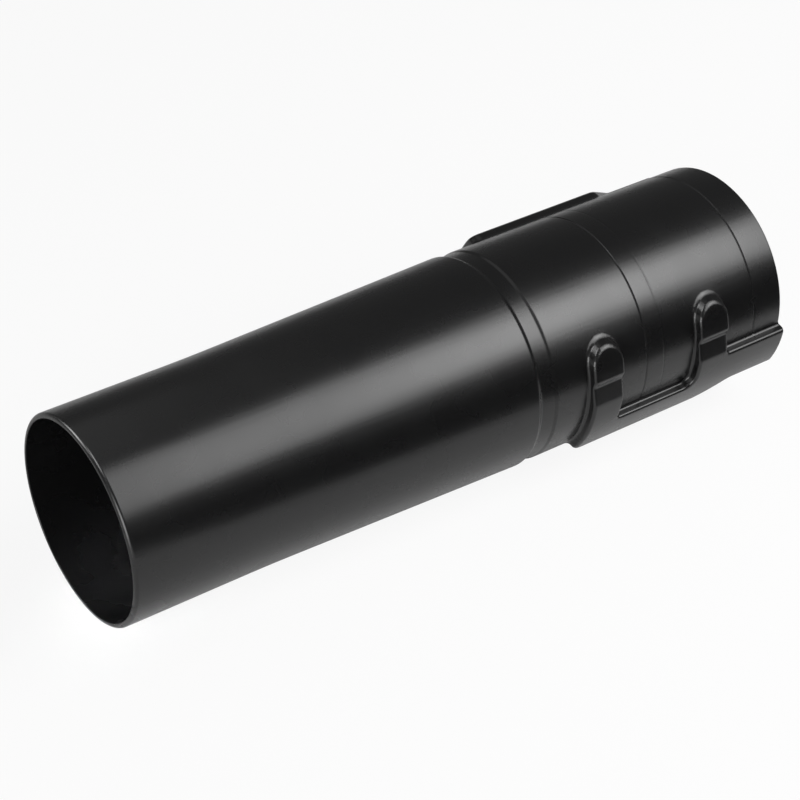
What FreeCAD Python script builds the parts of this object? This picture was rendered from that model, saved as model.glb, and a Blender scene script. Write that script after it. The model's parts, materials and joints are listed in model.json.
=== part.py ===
"""Leaf blower nozzle tube: one blow-moulded polyethylene tube with a socket and two bayonet lug tracks.

The tube is drawn along X, from the mouth at x = 0 to the rear rim, with the wall as an outside solid less
an inside solid. It is then laid down as it comes to rest on a flat surface, mouth rim and widest ring touching.
"""
import os

import FreeCAD
import Part
import Sketcher
from FreeCAD import Placement, Rotation, Vector

# Driving dimensions in millimetres and degrees
SIZES = [
    ("mouth_diameter", 80.0, "outside diameter of the round mouth"),
    ("tube_length", 290.0, "mouth to rear rim"),
    ("wall", 2.0, "thickness of the blown wall"),
    ("mouth_straight", 60.0, "parallel stretch behind the mouth"),
    ("cone_end", 170.0, "mouth to the end of the taper"),
    ("cone_diameter", 85.2, "outside diameter where the taper ends"),
    ("waist_length", 8.5, "shallow waist between taper and socket, the stop for the blower tube"),
    ("waist_diameter", 83.0, "outside diameter of the waist"),
    ("waist_slope", 1.2, "length of each side of the waist"),
    ("blower_tube", 80.0, "outside diameter of the tube that the socket slides over"),
    ("fit_clearance", 0.25, "radial clearance of the socket on that tube"),
    ("ring_depth", 0.5, "depth of a ring line"),
    ("ring_width", 1.4, "width of a ring line"),
    ("front_ring", 43.0, "waist to the front ring line of the socket"),
    ("rear_ring", 14.0, "rear ring line to the rear rim"),
    ("rim_bevel", 0.8, "bevel on the outside of the rear rim"),
    ("track_roll", 99.5, "turn of the near track from straight up, about the tube"),
    ("track_height", 3.8, "height of a track over the socket"),
    ("track_start", 15.0, "waist to the front wall of a track"),
    ("branch_width", 14.4, "width of a locking branch"),
    ("branch_pitch", 52.2, "front branch to rear branch"),
    ("branch_reach", 25.8, "track middle line to the round end of a branch"),
    ("inner_top", -8.5, "upper wall of the channel between the branches, from the middle line"),
    ("inner_width", 17.5, "width of that channel"),
    ("entry_top", 3.0, "upper wall of the entry channel, from the middle line"),
    ("entry_width", 20.2, "width of the entry channel at the rear rim"),
    ("slant_start", 8.5, "rear branch's front wall to the slanted stretch of the lower wall"),
    ("slant_run", 13.5, "length of that stretch"),
    ("corner_radius", 4.0, "rounding of the lower front corner of a track"),
    ("bend_radius", 5.0, "rounding of the bend from the channel into the rear branch"),
    ("snap_top", 13.4, "middle line to the snap step in a branch"),
    ("snap_face", 2.6, "width of the snap step's steep face"),
    ("snap_run", 10.2, "length of the snap step and its ramp"),
    ("snap_depth", 0.9, "drop of the steep face, along the mould's way of opening"),
]

# How far a cutting solid runs past what it cuts
OVERCUT = 5.0
# How far a snap step is cut past the sides of its branch
SIDE_CUT = 1.0
# Share of a branch's half width that its end is rounded to
END_SHARE = 0.98
# Distance under which two points count as one
SAME = 1e-6
# Turn of each track from the near one, about the tube
TRACKS = {"near_track": 0, "far_track": 180}
# Turn of the plane of the turned profiles: near straight up, so that their seam stays clear of both tracks, and a
# little aside, so that the tube doesn't lie on the line that faces the seam
PROFILE_TURN = 92.15
PROFILE_PLANE = Placement(Vector(), Rotation(Vector(1, 0, 0), PROFILE_TURN))

# Sizes that follow from the driving ones, as expressions on the sheet
MOUTH_RADIUS = "size.mouth_diameter / 2"
CONE_RADIUS = "size.cone_diameter / 2"
WAIST_RADIUS = "size.waist_diameter / 2"
BORE_RADIUS = "size.blower_tube / 2 + size.fit_clearance"
SOCKET_RADIUS = f"{BORE_RADIUS} + size.wall"
SOCKET_START = "size.cone_end + size.waist_length"
TRACK_FRONT = f"{SOCKET_START} + size.track_start"
REAR_BRANCH = f"{TRACK_FRONT} + size.branch_pitch"
TRACK_RADIUS = f"{SOCKET_RADIUS} + size.track_height"
TRACK_ROOT = f"({SOCKET_RADIUS}) / 2"

doc = FreeCAD.newDocument("leaf_blower_nozzle_tube")


def make_sheet():
    """The sheet of driving dimensions, one row each: name, value, meaning."""
    sheet = doc.addObject("Spreadsheet::Sheet", "size")
    for row, (name, value, meaning) in enumerate(SIZES, start=1):
        sheet.set(f"A{row}", name)
        sheet.set(f"B{row}", str(value))
        sheet.set(f"C{row}", meaning)
        sheet.setAlias(f"B{row}", name)
    doc.recompute()
    return sheet


def value_of(expression):
    """The number that an expression on the sheet gives now."""
    return float(sheet.evalExpression(expression))


def outline_sketch(name, corners, placement=None):
    """A closed polygon whose every corner is held by two dimensions bound to the sheet."""
    sketch = doc.addObject("Sketcher::SketchObject", name)
    points = [Vector(value_of(x), value_of(y), 0) for x, y in corners]
    count = len(points)
    for i in range(count):
        sketch.addGeometry(Part.LineSegment(points[i], points[(i + 1) % count]), False)
    for i in range(count):
        sketch.addConstraint(Sketcher.Constraint("Coincident", i, 2, (i + 1) % count, 1))
    for i, (x, y) in enumerate(corners):
        for kind, number, expression in (("DistanceX", points[i].x, x), ("DistanceY", points[i].y, y)):
            index = sketch.addConstraint(Sketcher.Constraint(kind, -1, 1, i, 1, number))
            sketch.setExpression(f"Constraints[{index}]", expression)
    if placement is not None:
        sketch.Placement = placement
    return sketch


def revolved(name, profile):
    """A solid turned from a profile about the tube's axis."""
    solid = doc.addObject("Part::Revolution", name)
    solid.Source = profile
    solid.Axis = Vector(1, 0, 0)
    solid.Angle = 360
    solid.Solid = True
    return solid


def combined(kind, name, first, second):
    """A boolean of two objects."""
    result = doc.addObject(kind, name)
    result.Base = first
    result.Tool = second
    return result


def fused(name, pieces):
    """A union of several objects."""
    result = doc.addObject("Part::MultiFuse", name)
    result.Shapes = pieces
    return result


def ring_line(place):
    """Three corners of a shallow ring line pressed into the outside of the socket."""
    half = "size.ring_width / 2"
    return [
        (f"{place} - {half}", SOCKET_RADIUS),
        (place, f"{SOCKET_RADIUS} - size.ring_depth"),
        (f"{place} + {half}", SOCKET_RADIUS),
    ]


def tube_outside():
    """Mouth, parallel stretch, taper, waist and socket with its ring lines."""
    corners = [
        ("0", "0"),
        ("0", MOUTH_RADIUS),
        ("size.mouth_straight", MOUTH_RADIUS),
        ("size.cone_end", CONE_RADIUS),
        ("size.cone_end + size.waist_slope", WAIST_RADIUS),
        (f"{SOCKET_START} - size.waist_slope", WAIST_RADIUS),
        (SOCKET_START, SOCKET_RADIUS),
    ]
    corners += ring_line(f"{SOCKET_START} + size.front_ring")
    corners += ring_line("size.tube_length - size.rear_ring")
    corners += [
        ("size.tube_length - size.rim_bevel", SOCKET_RADIUS),
        ("size.tube_length", f"{SOCKET_RADIUS} - size.rim_bevel"),
        ("size.tube_length", "0"),
    ]
    return revolved("tube_outside", outline_sketch("outside_profile", corners, PROFILE_PLANE))


def tube_inside():
    """The air passage, one wall inside the outside profile and open at both ends."""
    corners = [
        (f"-{OVERCUT}", "0"),
        (f"-{OVERCUT}", f"{MOUTH_RADIUS} - size.wall"),
        ("size.mouth_straight", f"{MOUTH_RADIUS} - size.wall"),
        ("size.cone_end", f"{CONE_RADIUS} - size.wall"),
        ("size.cone_end + size.waist_slope", f"{WAIST_RADIUS} - size.wall"),
        (f"{SOCKET_START} - size.waist_slope", f"{WAIST_RADIUS} - size.wall"),
        (SOCKET_START, BORE_RADIUS),
        (f"size.tube_length + {OVERCUT}", BORE_RADIUS),
        (f"size.tube_length + {OVERCUT}", "0"),
    ]
    return revolved("tube_inside", outline_sketch("inside_profile", corners, PROFILE_PLANE))


def track_corners(inset):
    """The plan of a lug track, seen along its middle line: an entry channel from the rear rim, a channel
    one step lower, and two branches that rise from them to the ends where a lug locks."""
    front = f"{TRACK_FRONT} + {inset}"
    front_back = f"{TRACK_FRONT} + size.branch_width - ({inset})"
    rear = f"{REAR_BRANCH} + {inset}"
    rear_back = f"{REAR_BRANCH} + size.branch_width - ({inset})"
    reach = f"size.branch_reach - ({inset})"
    inner_top = f"size.inner_top - ({inset})"
    inner_low = f"size.inner_top - size.inner_width + {inset}"
    entry_top = f"size.entry_top - ({inset})"
    entry_low = f"size.entry_top - size.entry_width + {inset}"
    drop = "(size.entry_top - size.entry_width - size.inner_top + size.inner_width)"
    shift = f"({inset}) * tan(atan({drop} / size.slant_run) / 2)"
    slant = f"{REAR_BRANCH} + size.slant_start - {shift}"
    run_out = f"size.tube_length + {OVERCUT}"
    return [
        (front, inner_low),
        (front, reach),
        (front_back, reach),
        (front_back, inner_top),
        (rear, inner_top),
        (rear, reach),
        (rear_back, reach),
        (rear_back, entry_top),
        (run_out, entry_top),
        (run_out, entry_low),
        (f"{slant} + size.slant_run", entry_low),
        (slant, inner_low),
    ]


def facing(turn):
    """The rotation that brings straight up to the way a track faces, which is the way its mould half opens."""
    return Rotation(Vector(1, 0, 0), value_of("size.track_roll") + turn)


def rounded_corners(block, turn, inset):
    """The extruded plan with its branch ends, its lower front corner and the bend of its channel rounded."""
    outward = facing(turn)
    reach = value_of(f"size.branch_reach - ({inset})")
    front = value_of(f"{TRACK_FRONT} + {inset}")
    rear = value_of(f"{REAR_BRANCH} + {inset}")
    low = value_of(f"size.inner_top - size.inner_width + {inset}")
    bend = value_of(f"size.inner_top - ({inset})")
    end_radius = END_SHARE * value_of(f"size.branch_width / 2 - ({inset})")
    low_radius = value_of("size.corner_radius")
    bend_radius = value_of(f"size.bend_radius + {inset}")
    edges = []
    for number, edge in enumerate(block.Shape.Edges, start=1):
        ends = [outward.inverted().multVec(vertex.Point) for vertex in edge.Vertexes]
        if (ends[0] - ends[1]).cross(Vector(0, 0, 1)).Length > SAME:
            continue
        if abs(ends[0].y - reach) < SAME:
            edges.append((number, end_radius, end_radius))
        elif abs(ends[0].y - low) < SAME and abs(ends[0].x - front) < SAME:
            edges.append((number, low_radius, low_radius))
        elif abs(ends[0].y - bend) < SAME and abs(ends[0].x - rear) < SAME:
            edges.append((number, bend_radius, bend_radius))
    fillet = doc.addObject("Part::Fillet", f"{block.Name}_rounded")
    fillet.Base = block
    fillet.Edges = edges
    return fillet


def track_body(name, turn, inset, radius, length):
    """The body of a track: its plan drawn out along the mould's way of opening, trimmed to a cylinder."""
    outward = facing(turn)
    start = outward.multVec(Vector(0, 0, value_of(TRACK_ROOT)))
    plan = outline_sketch(f"{name}_plan", track_corners(inset), Placement(start, outward))
    block = doc.addObject("Part::Extrusion", f"{name}_block")
    block.Base = plan
    block.DirMode = "Normal"
    block.setExpression("LengthFwd", radius)
    block.Solid = True
    doc.recompute()
    rounded = rounded_corners(block, turn, inset)
    envelope = doc.addObject("Part::Cylinder", f"{name}_envelope")
    envelope.Placement = Placement(Vector(), Rotation(Vector(0, 1, 0), 90))
    envelope.setExpression("Radius", radius)
    envelope.setExpression("Height", length)
    return combined("Part::Common", name, rounded, envelope)


def snap_step(name, turn, branch, skin):
    """The saw-tooth that is cut across a branch: a steep face by the locked lug and a long ramp to the channel."""
    top = "size.snap_top"
    foot = f"{top} - size.snap_run"
    surface = f"{TRACK_RADIUS} - ({skin})"
    crest = f"sqrt(({surface}) ^ 2 - ({top}) ^ 2)"
    heel = f"sqrt(({surface}) ^ 2 - ({foot}) ^ 2)"
    above = f"{surface} + {OVERCUT}"
    corners = [
        (top, crest),
        (f"{top} - size.snap_face", f"{crest} - size.snap_depth"),
        (foot, heel),
        (foot, above),
        (top, above),
    ]
    across = Rotation(Vector(0, 1, 0), Vector(0, 0, 1), Vector(1, 0, 0), "ZXY")
    section = outline_sketch(f"{name}_section", corners, Placement(Vector(), facing(turn) * across))
    section.setExpression("Placement.Base.x", f"{branch} - {SIDE_CUT}")
    block = doc.addObject("Part::Extrusion", name)
    block.Base = section
    block.DirMode = "Normal"
    block.setExpression("LengthFwd", f"size.branch_width + 2 * {SIDE_CUT}")
    block.Solid = True
    return block


def lug_track(name, turn, skin, length):
    """A whole track, with the snap step cut across both branches. A skin of one wall gives the hollow that the
    lug runs in."""
    body = track_body(f"{name}_body", turn, skin, f"{TRACK_RADIUS} - ({skin})", length)
    steps = fused(
        f"{name}_snaps",
        [
            snap_step(f"{name}_snap_front", turn, TRACK_FRONT, skin),
            snap_step(f"{name}_snap_rear", turn, REAR_BRANCH, skin),
        ],
    )
    return combined("Part::Cut", name, body, steps)


def nozzle_tube():
    """The moulded tube: its outside with two raised tracks, less the air passage and the hollow of each track."""
    raised = []
    hollows = []
    for name, turn in TRACKS.items():
        raised.append(lug_track(name, turn, "0", "size.tube_length"))
        hollows.append(lug_track(f"{name}_hollow", turn, "size.wall", f"size.tube_length + {OVERCUT}"))
    outside = fused("outside", [tube_outside()] + raised)
    inside = fused("inside", [tube_inside()] + hollows)
    tube = combined("Part::Cut", "nozzle_tube", outside, inside)
    tube.Refine = True
    tube.Label = "nozzle_tube"
    return tube


def lay_down(tube):
    """Lay the tube on the floor, on its mouth rim and its widest ring, with the origin under its middle."""
    tilt = value_of(f"atan(({CONE_RADIUS} - {MOUTH_RADIUS}) / size.cone_end)")
    turned = Rotation(Vector(0, 1, 0), -tilt)
    tube.Placement = Placement(Vector(), turned)
    doc.recompute()
    box = tube.Shape.optimalBoundingBox(False)
    tube.Placement = Placement(Vector(-box.Center.x, -box.Center.y, -box.ZMin), turned)
    doc.recompute()


def check_document():
    """Stop if anything in the document failed or the tube isn't one valid solid."""
    for item in doc.Objects:
        if "Invalid" in item.State or "Error" in item.State:
            raise RuntimeError(f"{item.Name} failed: {item.State}")
    shape = tube.Shape
    if shape.isNull() or not shape.isValid() or len(shape.Solids) != 1:
        raise RuntimeError("the tube isn't one valid solid")


sheet = make_sheet()
tube = nozzle_tube()
doc.recompute()
lay_down(tube)
check_document()

os.makedirs("parts", exist_ok=True)
tube.Shape.exportStep(f"parts/{tube.Label}.step")

box = tube.Shape.optimalBoundingBox(False)
print("faces", len(tube.Shape.Faces), "volume cm3", round(tube.Shape.Volume / 1000, 2))
print("box", [round(n, 3) for n in (box.XMin, box.XMax, box.YMin, box.YMax, box.ZMin, box.ZMax)])
rear = tube.Placement.multVec(Vector(value_of("size.tube_length"), 0, 0))
mouth = tube.Placement.multVec(Vector(0, 0, 0))
print("axis at the mouth", [round(n, 4) for n in mouth], "at the rear rim", [round(n, 4) for n in rear])
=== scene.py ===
# %% [markdown]
# # A leaf blower's nozzle tube
# The real part is one blow-moulded tube of black polyethylene. It has a plain round mouth, a long gentle
# taper, a shallow waist and a socket that slides over the blower's tube. On two sides of the socket the
# wall is blown out into a raised, hollow track in which a lug of the blower's tube runs and locks. The
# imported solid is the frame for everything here: its socket mount gives the place and the axis of the tube.

# %% Load the frame
import json
import math

import bmesh
import bpy
from mathutils import Matrix, Vector


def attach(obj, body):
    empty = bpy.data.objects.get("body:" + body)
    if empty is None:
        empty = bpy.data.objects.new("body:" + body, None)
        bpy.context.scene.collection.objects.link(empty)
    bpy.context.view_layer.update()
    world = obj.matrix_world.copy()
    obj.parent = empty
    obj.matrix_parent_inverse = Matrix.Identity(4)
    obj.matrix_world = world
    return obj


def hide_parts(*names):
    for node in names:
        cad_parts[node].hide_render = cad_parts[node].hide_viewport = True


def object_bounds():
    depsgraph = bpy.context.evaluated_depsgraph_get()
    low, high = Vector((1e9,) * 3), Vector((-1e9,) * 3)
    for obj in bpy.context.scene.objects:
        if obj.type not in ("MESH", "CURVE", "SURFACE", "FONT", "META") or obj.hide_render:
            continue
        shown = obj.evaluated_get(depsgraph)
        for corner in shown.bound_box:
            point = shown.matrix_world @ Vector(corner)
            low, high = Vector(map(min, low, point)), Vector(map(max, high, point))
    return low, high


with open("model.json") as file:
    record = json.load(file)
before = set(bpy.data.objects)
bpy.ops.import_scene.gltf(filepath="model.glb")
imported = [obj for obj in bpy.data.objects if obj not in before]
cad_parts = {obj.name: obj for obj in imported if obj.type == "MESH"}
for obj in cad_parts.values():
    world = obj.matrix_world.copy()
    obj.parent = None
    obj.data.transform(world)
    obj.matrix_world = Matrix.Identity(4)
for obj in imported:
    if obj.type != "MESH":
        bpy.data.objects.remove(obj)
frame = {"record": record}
CAD_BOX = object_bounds()
SOCKET = frame["record"]["mounts"][0]
print("solid from", [round(n, 4) for n in CAD_BOX[0]], "to", [round(n, 4) for n in CAD_BOX[1]])

# %% [markdown]
# ## Sizes
# The tube is modelled in millimetres along X, from the mouth at 0 to the rear rim, with the near track
# facing up. Working at that size keeps the merge and cut distances comfortable. At the end the tube is
# turned to its place, made small enough to be in metres, and both changes are applied to the mesh.

# %% Sizes of the wall in millimetres
TUBE_LENGTH = 290.0
WALL = 2.0
MOUTH_RADIUS = 40.0
MOUTH_STRAIGHT = 60.0
CONE_END = 170.0
CONE_RADIUS = 42.6
WAIST_RADIUS = 41.5
WAIST_BACK_RADIUS = 41.85
WAIST_SLOPE = 1.2
SOCKET_START = 178.5
SOCKET_RADIUS = 42.25
print("tube", TUBE_LENGTH, "mm long, with a wall of", WALL, "mm")

# %% Roundings and ring lines in millimetres
RING_DEPTHS = {221.5: 0.26, 230.0: 0.08, 276.0: 0.26}
RING_HALF_WIDTH = 0.55
REAR_RIM_RADIUS = 0.8
MOUTH_OUTER_EASE = 1.4
MOUTH_INNER_EASE = 0.3
TAPER_EASE = 700.0
WAIST_EASE = 1.9
print("ring lines at", list(RING_DEPTHS), "mm from the mouth")

# %% Columns of the mesh
# A track window is the stretch of the socket's wall that holds a track, so many columns to either side of
# its middle.
COLUMNS = 128
WINDOW_COLUMNS = 16
WINDOW_ANGLE = math.tau * WINDOW_COLUMNS / COLUMNS
WINDOW_FRONT = 186.0
WINDOW_BACK = 304.0
MERGE = 0.004
print(COLUMNS, "columns round the tube,", 2 * WINDOW_COLUMNS, "of them in each track window")

# %% [markdown]
# ## Lines with rounded corners
# The section of the wall and the plan of a track both start as a line with rounded corners. A vertex bevel
# could round them, but it gives every corner the same width. So the arcs are worked out first, each with
# its own radius, and then one vertex is extruded from point to point, as by hand.

# %% Round the corners of a line
DEGREES_PER_STEP = 13.0


def round_off(corners, closed=False):
    """Points of a line whose corners are (x, y, radius), each replaced by an arc of that radius."""
    count = len(corners)
    points = []
    for i, (x, y, radius) in enumerate(corners):
        corner = Vector((x, y))
        at_end = not closed and i in (0, count - 1)
        if at_end or radius == 0:
            points.append(corner)
            continue
        back = (Vector(corners[i - 1][:2]) - corner).normalized()
        ahead = (Vector(corners[(i + 1) % count][:2]) - corner).normalized()
        half = back.angle(ahead) / 2
        reach = radius / math.tan(half)
        centre = corner + (back + ahead).normalized() * radius / math.sin(half)
        start = corner + back * reach - centre
        turn = start.angle_signed(corner + ahead * reach - centre)
        steps = max(2, math.ceil(abs(math.degrees(turn)) / DEGREES_PER_STEP))
        for j in range(steps + 1):
            points.append(centre + Matrix.Rotation(-turn * j / steps, 2) @ start)
    return points


# %% Draw a line
def draw_line(name, points):
    """A new object in edit mode: one vertex that is extruded from point to point."""
    bpy.ops.object.select_all(action="DESELECT")
    bpy.ops.mesh.primitive_plane_add(size=1)
    line = bpy.context.object
    line.name = name
    bpy.ops.object.mode_set(mode="EDIT")
    bpy.ops.mesh.select_mode(type="VERT")
    bpy.ops.mesh.select_all(action="SELECT")
    bpy.ops.mesh.merge(type="CENTER")
    bpy.ops.transform.translate(value=points[0])
    for here, there in zip(points, points[1:]):
        step = Vector(there) - Vector(here)
        bpy.ops.mesh.extrude_region_move(TRANSFORM_OT_translate={"value": step})
    print(name, "drawn through", len(points), "points")
    return line


# %% [markdown]
# ## The plain tube
# The mouth, taper and waist are round. A cylinder could be pulled into their shape, but a section shows the
# even wall and makes its inside and outside in one go. So the wall is drawn once, with an eased edge at the
# mouth, and spun about the axis. Behind the waist only the two stretches between the tracks are round. They
# are spun through a quarter turn each, with the same rows that the track windows will have.

# %% Ring lines and the rear rim
def ring_drop(x):
    """How deep the pressed ring lines lie at x, as a soft trough."""
    for line, depth in RING_DEPTHS.items():
        if abs(x - line) < RING_HALF_WIDTH:
            return depth * (1 + math.cos(math.pi * (x - line) / RING_HALF_WIDTH)) / 2
    return 0.0


def rim_drop(x):
    """How far the outside of the rear rim is rounded off at x."""
    into = x - (TUBE_LENGTH - REAR_RIM_RADIUS)
    if into <= 0:
        return 0.0
    return REAR_RIM_RADIUS - math.sqrt(max(REAR_RIM_RADIUS**2 - into**2, 0.0))


# %% Section of the wall in front of the tracks
FRONT_SECTION = [
    (WINDOW_FRONT, SOCKET_RADIUS, 0),
    (SOCKET_START, SOCKET_RADIUS, WAIST_EASE),
    (SOCKET_START - WAIST_SLOPE, WAIST_BACK_RADIUS, WAIST_EASE),
    (CONE_END + WAIST_SLOPE, WAIST_RADIUS, WAIST_EASE),
    (CONE_END, CONE_RADIUS, WAIST_EASE),
    (MOUTH_STRAIGHT, MOUTH_RADIUS, TAPER_EASE),
    (0, MOUTH_RADIUS, MOUTH_OUTER_EASE),
    (0, MOUTH_RADIUS - WALL, MOUTH_INNER_EASE),
    (MOUTH_STRAIGHT, MOUTH_RADIUS - WALL, TAPER_EASE),
    (CONE_END, CONE_RADIUS - WALL, WAIST_EASE),
    (CONE_END + WAIST_SLOPE, WAIST_RADIUS - WALL, WAIST_EASE),
    (SOCKET_START - WAIST_SLOPE, WAIST_BACK_RADIUS - WALL, WAIST_EASE),
    (SOCKET_START, SOCKET_RADIUS - WALL, WAIST_EASE),
    (WINDOW_FRONT, SOCKET_RADIUS - WALL, 0),
]
print("front section with", len(FRONT_SECTION), "corners")

# %% Rows along the socket
# Rows lie at even steps, with close ones across each ring line and over the rounding of the rear rim.
ROW_STEP = 6.0
ROW_COUNT = 16
RING_SHARES = (-1, -0.66, -0.33, 0, 0.33, 0.66, 1)
RIM_ANGLES = (0, 30, 60)

rows = {WINDOW_FRONT, TUBE_LENGTH}
rows.update(WINDOW_FRONT + ROW_STEP * i for i in range(1, ROW_COUNT + 1))
for line in RING_DEPTHS:
    rows = {x for x in rows if abs(x - line) > 2 * RING_HALF_WIDTH}
    rows.update(line + RING_HALF_WIDTH * share for share in RING_SHARES)
rows.update(TUBE_LENGTH - REAR_RIM_RADIUS * (1 - math.sin(math.radians(angle))) for angle in RIM_ANGLES)
SOCKET_ROWS = sorted(rows)
print(len(SOCKET_ROWS), "rows along the socket")


# %% Spin the plain tube
def spun(name, section, steps, angle, start=0.0):
    """A wall section, drawn as (x, radius), spun about the tube's axis from a starting angle."""
    aside = Matrix.Rotation(-start, 3, "X")
    wall = draw_line(name, [aside @ Vector((x, 0, radius)) for x, radius in section])
    bpy.ops.mesh.select_all(action="SELECT")
    bpy.ops.mesh.spin(steps=steps, angle=angle, center=(0, 0, 0), axis=(1, 0, 0))
    bpy.ops.mesh.select_all(action="SELECT")
    bpy.ops.mesh.remove_doubles(threshold=MERGE)
    bpy.ops.object.mode_set(mode="OBJECT")
    print(name, "has", len(wall.data.polygons), "faces")
    return wall


front = spun("front_of_tube", [tuple(p) for p in round_off(FRONT_SECTION)], COLUMNS, math.tau)
side_section = [(x, SOCKET_RADIUS - ring_drop(x) - rim_drop(x)) for x in SOCKET_ROWS]
side_section += [(x, SOCKET_RADIUS - WALL) for x in reversed(SOCKET_ROWS)]
side_angle = math.pi - 2 * WINDOW_ANGLE
side_steps = COLUMNS // 2 - 2 * WINDOW_COLUMNS
sides = []
for start in (WINDOW_ANGLE, WINDOW_ANGLE + math.pi):
    sides.append(spun("side_of_socket", side_section, side_steps, side_angle, start))

# %% [markdown]
# ## A lug track
# The track is a hollow relief. Seen from the way its half of the mould opens, it has an entry channel from
# the rear rim, a channel one step lower, and two branches that rise from them to round ends. A lug is
# pushed in at the rim and locks by a turn into either branch, behind a small snap step. A block could be
# joined to the tube and bevelled, but bevels of this size run into each other at the inner corners. So the
# plan is drawn flat, as a mould maker would cut it, and its face is inset and raised again and again. That
# gives the foot fillet, the wall and the rounded top edge with even widths all round.

# %% Sizes of a track in millimetres
TRACK_HEIGHT = 3.8
TRACK_FRONT = 193.5
BRANCH_WIDTH = 14.4
REAR_BRANCH = 245.7
BRANCH_REACH = 25.8
INNER_TOP = -9.3
INNER_WIDTH = 16.7
ENTRY_TOP = 2.0
ENTRY_WIDTH = 19.2
SLANT_START = 8.5
SLANT_RUN = 13.5
LOW_CORNER_RADIUS = 4.0
BEND_RADIUS = 5.0
INNER_CORNER_RADIUS = 1.5
RUN_OUT = TUBE_LENGTH + 10.0
print("track", TRACK_HEIGHT, "mm high, with branches", BRANCH_WIDTH, "mm wide")


# %% Plan of a track
def track_plan(inset):
    """Corners of a track's plan as (x, y, rounding), moved inwards by an inset."""
    end_radius = BRANCH_WIDTH / 2 - inset
    low = INNER_TOP - INNER_WIDTH + inset
    reach = BRANCH_REACH - inset
    slope = math.atan((ENTRY_TOP - ENTRY_WIDTH - INNER_TOP + INNER_WIDTH) / SLANT_RUN)
    slant = REAR_BRANCH + SLANT_START - inset * math.tan(slope / 2)
    return [
        (TRACK_FRONT + inset, low, LOW_CORNER_RADIUS - inset),
        (TRACK_FRONT + inset, reach, end_radius),
        (TRACK_FRONT + BRANCH_WIDTH - inset, reach, end_radius),
        (TRACK_FRONT + BRANCH_WIDTH - inset, INNER_TOP - inset, INNER_CORNER_RADIUS + inset),
        (REAR_BRANCH + inset, INNER_TOP - inset, BEND_RADIUS + inset),
        (REAR_BRANCH + inset, reach, end_radius),
        (REAR_BRANCH + BRANCH_WIDTH - inset, reach, end_radius),
        (REAR_BRANCH + BRANCH_WIDTH - inset, ENTRY_TOP - inset, INNER_CORNER_RADIUS + inset),
        (RUN_OUT, ENTRY_TOP - inset, 0),
        (RUN_OUT, ENTRY_TOP - ENTRY_WIDTH + inset, 0),
        (slant + SLANT_RUN, ENTRY_TOP - ENTRY_WIDTH + inset, BEND_RADIUS),
        (slant, low, BEND_RADIUS),
    ]


# %% Levels of the relief
# Each level is how far inside the plan it lies and how high. The inside of the wall has a plain eased edge
# only.
FOOT = 1.35
FOOT_ANGLES = (20, 40, 60, 80)
TOP_EASE = 1.4
TOP_ANGLES = (10, 30, 50, 70, 90)
INNER_SLANT = 0.2
INNER_EASE = 0.3

OUTER_RELIEF = []
for angle in FOOT_ANGLES:
    turn = math.radians(angle)
    OUTER_RELIEF.append((FOOT * math.sin(turn) - FOOT, FOOT * (1 - math.cos(turn))))
for angle in TOP_ANGLES:
    turn = math.radians(angle)
    height = TRACK_HEIGHT - TOP_EASE * (1 - math.sin(turn))
    OUTER_RELIEF.append((TOP_EASE * (1 - math.cos(turn)), height))
INNER_RELIEF = [(INNER_SLANT, TRACK_HEIGHT - INNER_EASE), (INNER_SLANT + INNER_EASE, TRACK_HEIGHT)]
print("relief with", len(OUTER_RELIEF), "levels outside and", len(INNER_RELIEF), "inside")


# %% Raise the plan
def raised_plan(name, inset, relief, foot):
    """A flat plan whose face is inset and raised, level by level, into a rounded relief."""
    plan = [Vector((p.x, p.y, 0)) for p in round_off(track_plan(inset - foot), closed=True)]
    track = draw_line(name, plan + plan[:1])
    bpy.ops.mesh.select_all(action="SELECT")
    bpy.ops.mesh.remove_doubles(threshold=MERGE)
    bpy.ops.mesh.edge_face_add()
    bpy.ops.mesh.select_mode(type="FACE")
    bpy.ops.mesh.normals_make_consistent(inside=False)
    last_inset, last_height = -foot, 0.0
    for at, height in relief:
        bpy.ops.mesh.inset(thickness=at - last_inset, depth=0)
        bpy.ops.transform.translate(value=(0, 0, height - last_height))
        last_inset, last_height = at, height
    return track


# %% [markdown]
# ## The window round a track
# The relief has to meet the plain tube without a gap. A boolean could join them, but it would leave thin,
# uneven faces in the gloss. So the flat window round the relief is filled, and ruled with the rows and
# columns of the plain tube. In edit mode the edges and faces for each step are selected in code, by their
# place, because there is no mouse.

# %% Select by place
def pick(kind, test):
    """In edit mode, select only the vertices ("VERT"), edges ("EDGE") or faces ("FACE") that pass a test."""
    bpy.ops.mesh.select_mode(type=kind)
    bpy.ops.mesh.select_all(action="DESELECT")
    mesh = bmesh.from_edit_mesh(bpy.context.object.data)
    elements = {"VERT": mesh.verts, "EDGE": mesh.edges, "FACE": mesh.faces}[kind]
    for element in elements:
        if test(element):
            element.select_set(True)
    mesh.select_flush_mode()
    bmesh.update_edit_mesh(bpy.context.object.data)


# %% Fill the window
FLAT_ANGLE = math.radians(1)


def surround(radius):
    """In edit mode, fill the flat window around the relief, out to where the plain tube begins."""
    half = radius * math.sin(WINDOW_ANGLE)
    bpy.ops.mesh.select_mode(type="EDGE")
    bpy.ops.mesh.select_all(action="DESELECT")
    bpy.ops.mesh.primitive_plane_add(size=1)
    bpy.ops.transform.resize(value=(WINDOW_BACK - WINDOW_FRONT, 2 * half, 1), center_override=(0, 0, 0))
    bpy.ops.transform.translate(value=((WINDOW_BACK + WINDOW_FRONT) / 2, 0, 0))
    bpy.ops.mesh.delete(type="ONLY_FACE")
    pick("EDGE", lambda edge: len(edge.link_faces) < 2)
    bpy.ops.mesh.fill(use_beauty=True)
    bpy.ops.mesh.dissolve_limited(angle_limit=FLAT_ANGLE)


# %% Rule the window
CUT_THRESHOLD = 1e-5


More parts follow.
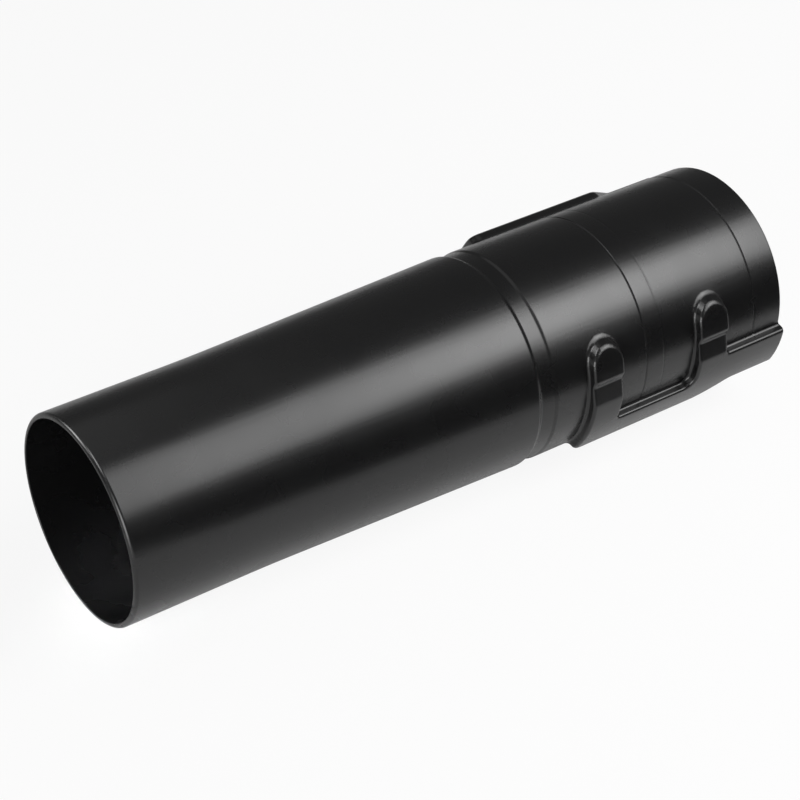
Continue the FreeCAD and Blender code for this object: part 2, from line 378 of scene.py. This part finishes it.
def cut(place, normal, **keywords):
    """In edit mode, cut what is selected along a plane."""
    bpy.ops.mesh.bisect(plane_co=place, plane_no=normal, threshold=CUT_THRESHOLD, **keywords)


def rule_window(radius):
    """In edit mode, rule the window with the rows and columns of the plain tube and cut it off at the rim."""
    for x in SOCKET_ROWS[1:-1]:
        bpy.ops.mesh.select_all(action="SELECT")
        cut((x, 0, 0), (1, 0, 0))
    for column in range(1 - WINDOW_COLUMNS, WINDOW_COLUMNS):
        bpy.ops.mesh.select_all(action="SELECT")
        cut((0, radius * math.sin(math.tau * column / COLUMNS), 0), (0, 1, 0))
    bpy.ops.mesh.select_all(action="SELECT")
    cut((TUBE_LENGTH, 0, 0), (1, 0, 0), clear_outer=True)


# %% [markdown]
# ## Snap steps
# Across each branch the wall is pressed in, so that a lug has to spring over a step before it is locked.
# The step has a steep face by the lug and a long ramp to the channel. By hand you would cut lines across
# the branch and push the corners between them down, and the same is done here. The cuts come in pairs, a
# little apart, to ease the edges.

# %% Sizes of a snap step in millimetres
SNAP_TOP = 13.4
SNAP_FACE = 2.6
SNAP_RUN = 10.2
SNAP_DEPTH = 0.9
SNAP_EASE = 0.35
print("snap step", SNAP_DEPTH, "mm deep,", SNAP_RUN, "mm long")

# %% Press the snap steps
# The press reaches past a branch by this share of the foot's width.
SNAP_OVERLAP = 1.1


def snap_height(y, radius):
    """Height of the snap step's floor at y: a steep face by the locked lug and a long ramp to the channel."""
    crest = math.sqrt((radius + TRACK_HEIGHT) ** 2 - SNAP_TOP**2)
    foot_y = SNAP_TOP - SNAP_RUN
    heel = math.sqrt((radius + TRACK_HEIGHT) ** 2 - foot_y**2)
    low_y, low = SNAP_TOP - SNAP_FACE, crest - SNAP_DEPTH
    if y > low_y:
        up = low + (crest - low) * (y - low_y) / SNAP_FACE
    else:
        up = heel + (low - heel) * (y - foot_y) / (low_y - foot_y)
    return math.hypot(up, y) - radius


def cut_snap_steps(radius, inset, foot):
    """In edit mode, press a snap step into both branches, over their full width with the foot."""
    for branch in (TRACK_FRONT, REAR_BRANCH):
        low_x = branch + inset - SNAP_OVERLAP * foot
        high_x = branch + BRANCH_WIDTH - inset + SNAP_OVERLAP * foot

        def on_branch(face):
            middle = face.calc_center_median()
            return low_x < middle.x < high_x and middle.z > 0 and middle.y > SNAP_TOP - 2 * SNAP_RUN

        for y in (SNAP_TOP, SNAP_TOP - SNAP_FACE, SNAP_TOP - SNAP_RUN):
            for side in (-SNAP_EASE, SNAP_EASE):
                pick("FACE", on_branch)
                cut((0, y + side, 0), (0, 1, 0))
        mesh = bmesh.from_edit_mesh(bpy.context.object.data)
        for corner in mesh.verts:
            x, y, height = corner.co
            if low_x < x < high_x and SNAP_TOP - SNAP_RUN < y < SNAP_TOP:
                corner.co.z = height * snap_height(y, radius) / TRACK_HEIGHT
        bmesh.update_edit_mesh(bpy.context.object.data)


# %% [markdown]
# ## Wrap the tracks
# The window is still flat. The real relief leaves its mould straight, so its sides stay upright and only
# the heights change: each corner moves up until it lies on the tube, or its own height above it. A bend
# modifier would lean the sides towards the axis, so the places come from a formula instead. The ring lines
# fade out on the relief.

# %% Wrap a track round the tube
ON_THE_TUBE = 1e-4
RING_FADE = 0.5


def move_corners(place):
    """In edit mode, put every vertex where a formula says."""
    mesh = bmesh.from_edit_mesh(bpy.context.object.data)
    for corner in mesh.verts:
        corner.co = place(corner.co)
    bmesh.update_edit_mesh(bpy.context.object.data)


def track_window(name, radius, inset, relief, foot, eased):
    """The window with its relief, ruled, pressed and wrapped round a cylinder of the given radius."""
    window = raised_plan(name, inset, relief, foot)
    surround(radius)
    rule_window(radius)
    cut_snap_steps(radius, inset, foot)

    def wrapped(corner):
        x, y, height = corner
        fade = max(0.0, 1 - height / RING_FADE)
        drop = rim_drop(x) + ring_drop(x) * fade if eased else 0.0
        if height < ON_THE_TUBE:
            share = (radius - drop) / radius
            return Vector((x, y * share, math.sqrt(radius**2 - y**2) * share))
        return Vector((x, y, math.sqrt((radius + height - drop) ** 2 - y**2)))

    move_corners(wrapped)
    bpy.ops.object.mode_set(mode="OBJECT")
    print(name, "has", len(window.data.polygons), "faces")
    return window


outside_track = track_window("track_outside", SOCKET_RADIUS, 0.0, OUTER_RELIEF, FOOT, eased=True)
inside_track = track_window("track_inside", SOCKET_RADIUS - WALL, WALL, INNER_RELIEF, 0.0, eased=False)

# %% [markdown]
# ## One closed wall
# The far track is the near one turned half way round the axis. All the pieces are joined, their shared rows
# and columns are merged, and the rear rim is filled where the tracks run out through it. The result is one
# closed wall, like the real moulding.

# %% Copy the tracks to the far side
def turned_copy(piece):
    """A copy of a piece, with its own mesh, turned half way round the tube's axis."""
    bpy.ops.object.select_all(action="DESELECT")
    piece.select_set(True)
    bpy.context.view_layer.objects.active = piece
    bpy.ops.object.duplicate()
    copy = bpy.context.object
    bpy.ops.object.mode_set(mode="EDIT")
    bpy.ops.mesh.select_all(action="SELECT")
    bpy.ops.transform.rotate(value=math.pi, orient_axis="X", center_override=(0, 0, 0))
    bpy.ops.object.mode_set(mode="OBJECT")
    print(copy.name, "turned to the far side")
    return copy


far_tracks = [turned_copy(outside_track), turned_copy(inside_track)]


# %% Join the tube
def unjoined_edges():
    """In edit mode, how many edges don't lie between two faces."""
    mesh = bmesh.from_edit_mesh(bpy.context.object.data)
    return sum(len(edge.link_faces) != 2 for edge in mesh.edges)


bpy.ops.object.select_all(action="DESELECT")
for piece in [front, outside_track, inside_track] + sides + far_tracks:
    piece.select_set(True)
bpy.context.view_layer.objects.active = front
bpy.ops.object.join()
tube = bpy.context.object
tube.name = "nozzle_tube_skin"
bpy.ops.object.mode_set(mode="EDIT")
bpy.ops.mesh.select_all(action="SELECT")
bpy.ops.mesh.remove_doubles(threshold=MERGE)
pick("EDGE", lambda edge: len(edge.link_faces) == 1)
print("edges that don't join two faces before the rim is filled:", unjoined_edges())
bpy.ops.mesh.fill(use_beauty=True)
bpy.ops.mesh.select_all(action="SELECT")
bpy.ops.mesh.normals_make_consistent(inside=False)
print("edges that don't join two faces:", unjoined_edges())
bpy.ops.object.mode_set(mode="OBJECT")

# %% [markdown]
# ## The tube in its place
# The socket's mount in the frame is the middle of the rear rim and points along the axis, so the tube is
# moved back by its length, rolled until the tracks face the right way, and put there. It is then shaded
# smooth, except at sharp edges, and weighted normals keep the large faces flat next to the small ones of
# the roundings.

# %% Bring the tube to its place
TRACK_ROLL = math.radians(99.5)
MILLIMETRE = 0.001
SMOOTH_ANGLE = math.radians(38)

along = Vector(SOCKET["axis"]).normalized()
across = Vector((0, 1, 0))
upwards = along.cross(across)
basis = Matrix((along, across, upwards)).transposed().to_4x4()
from_rim = Matrix.Translation((-TUBE_LENGTH, 0, 0))
TUBE_PLACE = Matrix.Translation(SOCKET["pos_m"]) @ basis @ Matrix.Scale(MILLIMETRE, 4)
tube.matrix_world = TUBE_PLACE @ Matrix.Rotation(TRACK_ROLL, 4, "X") @ from_rim
bpy.ops.object.transform_apply(location=True, rotation=True, scale=True)
print("box", [round(n, 4) for n in tube.dimensions])

bpy.ops.object.shade_smooth_by_angle(angle=SMOOTH_ANGLE)
bpy.ops.object.modifier_add(type="WEIGHTED_NORMAL")
even_flats = tube.modifiers[-1]
even_flats.mode = "FACE_AREA_WITH_ANGLE"
even_flats.keep_sharp = True
bpy.ops.object.modifier_apply(modifier=even_flats.name)
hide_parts("nozzle_tube")
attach(tube, "root")
print("tube", len(tube.data.polygons), "faces")

# %% [markdown]
# ## Black polyethylene
# Blown polyethylene is a deep black with a satin gloss. The skin took its finish from the mould, so the
# gloss changes slowly from place to place, faint draw lines run along the tube, and a very fine grain
# breaks up the reflections. They are far too small to model, so noise on Object coordinates drives the
# roughness and three layers of bump.

# %% Material
BLACK = (0.0045, 0.0045, 0.0047, 1)
PLASTIC_IOR = 1.54
GLOSSIEST = 0.24
DULLEST = 0.31
ALONG_THE_TUBE = (0.02, 1, 1)


def black_polyethylene():
    """Satin black plastic with draw lines, slow waves and a fine grain, on Object coordinates."""
    material = bpy.data.materials.new("black_polyethylene")
    material.use_nodes = True
    nodes, links = material.node_tree.nodes, material.node_tree.links
    shader = nodes["Principled BSDF"]
    shader.inputs["Base Color"].default_value = BLACK
    shader.inputs["IOR"].default_value = PLASTIC_IOR
    place = nodes.new("ShaderNodeTexCoord")

    def noise(scale, detail, stretch=(1, 1, 1)):
        mapping = nodes.new("ShaderNodeMapping")
        mapping.inputs["Scale"].default_value = stretch
        links.new(place.outputs["Object"], mapping.inputs["Vector"])
        texture = nodes.new("ShaderNodeTexNoise")
        texture.inputs["Scale"].default_value = scale
        texture.inputs["Detail"].default_value = detail
        links.new(mapping.outputs["Vector"], texture.inputs["Vector"])
        return texture.outputs["Fac"]

    def bumped(height, strength, distance, before=None):
        bump = nodes.new("ShaderNodeBump")
        bump.inputs["Strength"].default_value = strength
        bump.inputs["Distance"].default_value = distance
        links.new(height, bump.inputs["Height"])
        if before is not None:
            links.new(before, bump.inputs["Normal"])
        return bump.outputs["Normal"]

    gloss = nodes.new("ShaderNodeMapRange")
    gloss.inputs["To Min"].default_value = GLOSSIEST
    gloss.inputs["To Max"].default_value = DULLEST
    links.new(noise(scale=55, detail=3), gloss.inputs["Value"])
    links.new(gloss.outputs["Result"], shader.inputs["Roughness"])
    waves = bumped(noise(scale=38, detail=1), strength=0.25, distance=0.0006)
    draw_marks = noise(scale=420, detail=2, stretch=ALONG_THE_TUBE)
    lines = bumped(draw_marks, strength=0.20, distance=0.0001, before=waves)
    grain = bumped(noise(scale=2600, detail=2), strength=0.04, distance=0.00006, before=lines)
    links.new(grain, shader.inputs["Normal"])
    return material


tube.data.materials.clear()
tube.data.materials.append(black_polyethylene())
print("material", tube.data.materials[0].name)

# %% [markdown]
# ## Camera
# The camera looks down on the tube from the mouth end, a little to the side. Its place is given from the
# tube: a point near the axis that it aims at, in millimetres, and the direction and distance from there.

# %% Camera
AIM = Vector((135.2, -1.86, -2.16))
TO_CAMERA = Vector((-0.4711, -0.6682, 0.5758))
CAMERA_DISTANCE = 849.3
CAMERA_UP = Vector((0.3318, 0.4706, 0.8176))
LENS = 102.1
SENSOR = 36.0

camera_data = bpy.data.cameras.new("camera")
camera_data.lens = LENS
camera_data.sensor_width = SENSOR
camera = bpy.data.objects.new("camera", camera_data)
bpy.context.collection.objects.link(camera)
back = (basis.to_3x3() @ TO_CAMERA).normalized()
right = (basis.to_3x3() @ CAMERA_UP).cross(back).normalized()
facing = Matrix((right, back.cross(right), back)).transposed().to_4x4()
spot = TUBE_PLACE @ from_rim @ (AIM + CAMERA_DISTANCE * TO_CAMERA.normalized())
camera.matrix_world = Matrix.Translation(spot) @ facing
bpy.context.scene.camera = camera
print("camera at", [round(n, 3) for n in spot])

# %% [markdown]
# ## Floor
# The tube lies on a wide pale floor, which gives its underside a grey sheen. A floor that is only lit would
# be grey in places, so to the camera nine tenths of it are a white glow, and the last tenth is matt and
# keeps the shadow. In reflections it glows very little, because the plastic would lose its black.

# %% Floor
FLOOR_HALF = 12.0
FLOOR_WHITE = (0.9, 0.9, 0.9, 1)
FLOOR_GLOW = 0.90
MIRRORED_GLOW = 0.08


def pale_floor():
    """A white floor that shows near white and keeps the tube's soft shadow."""
    material = bpy.data.materials.new("pale_floor")
    material.use_nodes = True
    nodes, links = material.node_tree.nodes, material.node_tree.links
    nodes.clear()
    output = nodes.new("ShaderNodeOutputMaterial")
    matt = nodes.new("ShaderNodeBsdfDiffuse")
    matt.inputs["Color"].default_value = FLOOR_WHITE
    glow = nodes.new("ShaderNodeEmission")
    path = nodes.new("ShaderNodeLightPath")

    def combine(operation, first, second):
        step = nodes.new("ShaderNodeMath")
        step.operation = operation
        for socket, value in zip(step.inputs, (first, second)):
            if isinstance(value, float):
                socket.default_value = value
            else:
                links.new(value, socket)
        return step.outputs[0]

    seen = combine("MULTIPLY", path.outputs["Is Camera Ray"], FLOOR_GLOW)
    either = combine("MAXIMUM", path.outputs["Is Glossy Ray"], path.outputs["Is Transmission Ray"])
    mirrored = combine("MULTIPLY", either, MIRRORED_GLOW)
    mix = nodes.new("ShaderNodeMixShader")
    links.new(combine("MAXIMUM", seen, mirrored), mix.inputs["Fac"])
    links.new(matt.outputs[0], mix.inputs[1])
    links.new(glow.outputs[0], mix.inputs[2])
    links.new(mix.outputs[0], output.inputs["Surface"])
    return material


bpy.ops.object.select_all(action="DESELECT")
bpy.ops.mesh.primitive_plane_add(size=2 * FLOOR_HALF, location=(0, 0, CAD_BOX[0].z))
floor = bpy.context.object
floor.name = "floor"
floor.data.materials.append(pale_floor())
print("floor at", round(floor.location.z, 5))

# %% [markdown]
# ## Black card
# A photographer keeps black card off to the side of such a part, so that its reflection draws a dark stripe
# between the lamp's and the floor's. The card here lies in front of the tube, is cut at a slant along its
# near edge and turns up along its far edge. It shows in reflections only, so it throws no shadow and isn't
# seen on the floor.

# %% Black card in metres
CARD_FRONT = -0.05
CARD_BACK = 1.1
CARD_NEAR = -0.165
CARD_FAR = -0.75
CARD_TOP = 0.23
CARD_LIFT = 0.0008
CARD_SLANT = 0.26
CARD_BLACK = (0.002, 0.002, 0.002, 1)


def card_sheet():
    """The sheet of card as a mesh object."""
    bpy.ops.object.select_all(action="DESELECT")
    bpy.ops.mesh.primitive_plane_add(size=1)
    card = bpy.context.object
    card.name = "black_card"
    bpy.ops.object.mode_set(mode="EDIT")
    bpy.ops.mesh.select_all(action="SELECT")
    bpy.ops.transform.resize(value=(CARD_BACK - CARD_FRONT, CARD_NEAR - CARD_FAR, 1))
    middle = ((CARD_FRONT + CARD_BACK) / 2, (CARD_NEAR + CARD_FAR) / 2, CAD_BOX[0].z + CARD_LIFT)
    bpy.ops.transform.translate(value=middle)
    pick("EDGE", lambda edge: all(corner.co.y < CARD_FAR + CARD_LIFT for corner in edge.verts))
    bpy.ops.mesh.extrude_region_move(TRANSFORM_OT_translate={"value": (0, 0, CARD_TOP)})
    pick("VERT", lambda corner: corner.co.x > CARD_BACK - CARD_LIFT and corner.co.y > CARD_NEAR - CARD_LIFT)
    bpy.ops.transform.translate(value=(0, CARD_SLANT, 0))
    bpy.ops.object.mode_set(mode="OBJECT")
    return card


def dead_black():
    """Black card without any gloss."""
    material = bpy.data.materials.new("black_card")
    material.use_nodes = True
    shader = material.node_tree.nodes["Principled BSDF"]
    shader.inputs["Base Color"].default_value = CARD_BLACK
    shader.inputs["Roughness"].default_value = 1.0
    shader.inputs["Specular IOR Level"].default_value = 0.0
    return material


card = card_sheet()
card.data.materials.append(dead_black())
card.visible_camera = False
card.visible_diffuse = False
card.visible_shadow = False
card.visible_transmission = False
print("black card", len(card.data.polygons), "faces")

# %% [markdown]
# ## Lamps
# One large soft lamp hangs along the tube, over it and a little in front. A smaller, brighter one gives its
# broad reflection a hot middle, and a faint one on the far side greys the top of the tube by the mouth.
# Small lamps do one job each. One in front of the mouth lights its rim, and one over the mouth end draws
# bright edges on the tracks. Two have a grid that narrows the beam: one on the far side of the mouth draws
# the upper edge of the rim, and one shines into the mouth and lights the wall inside.

# %% Hang a lamp
WIDE_OPEN = 180.0


def softbox(name, place, aim, width, length, watts, spread=WIDE_OPEN):
    """A rectangular soft lamp at a place, facing an aim, with its beam narrowed to a spread in degrees."""
    data = bpy.data.lights.new(name, "AREA")
    data.shape = "RECTANGLE"
    data.size = width
    data.size_y = length
    data.energy = watts
    data.spread = math.radians(spread)
    lamp = bpy.data.objects.new(name, data)
    bpy.context.collection.objects.link(lamp)
    towards = Vector(aim) - Vector(place)
    lamp.matrix_world = Matrix.Translation(place) @ towards.to_track_quat("-Z", "X").to_matrix().to_4x4()
    print(name, "at", [round(n, 2) for n in place])
    return lamp


def lamp_along(name, turn, half_angle, front, back, distance, radiance):
    """A soft lamp that hangs along the tube, turned about it in degrees from straight up to the near side."""
    width = 2 * distance * math.tan(math.radians(half_angle))
    middle = (front + back) / 2
    angle = math.radians(turn)
    place = (middle, -distance * math.sin(angle), distance * math.cos(angle))
    watts = radiance * math.pi * width * (back - front)
    return softbox(name, place, (middle, 0, 0), width, back - front, watts)


# %% Large lamps along the tube
lamp_along("main_softbox", turn=36, half_angle=22, front=0.10, back=1.20, distance=0.90, radiance=3.45)
lamp_along("hot_middle", turn=36, half_angle=13, front=0.36, back=0.70, distance=0.86, radiance=3.9)
lamp_along("dim_ceiling", turn=-24, half_angle=26, front=-0.20, back=0.22, distance=0.90, radiance=0.35)

# %% Small lamps by the mouth
rim_place, rim_aim = (-0.328, 0.184, 0.234), (-0.145, 0, 0.083)
rim_light = softbox("rim_softbox", rim_place, rim_aim, width=0.2, length=0.2, watts=0.075, spread=40)
rim_light.visible_diffuse = False
rim_light.visible_camera = False
front_place, front_aim = (-0.75, -0.50, 0.22), (0, -0.03, 0.05)
softbox("front_softbox", front_place, front_aim, width=0.4, length=0.6, watts=4.5)
edge_place, edge_aim = (-0.42, 0.0, 0.85), (0.08, 0, 0.05)
edge_light = softbox("edge_softbox", edge_place, edge_aim, width=0.35, length=0.35, watts=3.0)
edge_light.visible_diffuse = False
bore_place, bore_aim = (-0.505, -0.18, 0.232), (-0.122, 0.004, 0.004)
bore_light = softbox("bore_softbox", bore_place, bore_aim, width=0.03, length=0.03, watts=0.015, spread=6)
bore_light.visible_glossy = False
bore_light.visible_camera = False

# %% [markdown]
# ## Room
# The room is dim all round, so that the plastic stays black wherever it mirrors no lamp. To the camera the
# backdrop is as pale as the far end of the floor, so that the floor's edge doesn't show in a low view.

# %% Room
ROOM_LIGHT = 0.13
WHITE = (1, 1, 1, 1)


def dim_room():
    """A room that is dim all round, with a pale backdrop for the camera."""
    world = bpy.data.worlds.new("dim_room")
    world.use_nodes = True
    nodes, links = world.node_tree.nodes, world.node_tree.links
    path = nodes.new("ShaderNodeLightPath")
    pale = nodes.new("ShaderNodeMapRange")
    pale.inputs["To Min"].default_value = ROOM_LIGHT
    pale.inputs["To Max"].default_value = FLOOR_GLOW
    links.new(path.outputs["Is Camera Ray"], pale.inputs["Value"])
    backdrop = nodes["Background"]
    backdrop.inputs["Color"].default_value = WHITE
    links.new(pale.outputs["Result"], backdrop.inputs["Strength"])
    return world


bpy.context.scene.world = dim_room()
bpy.context.scene.view_settings.view_transform = "Standard"
print("room light", ROOM_LIGHT)
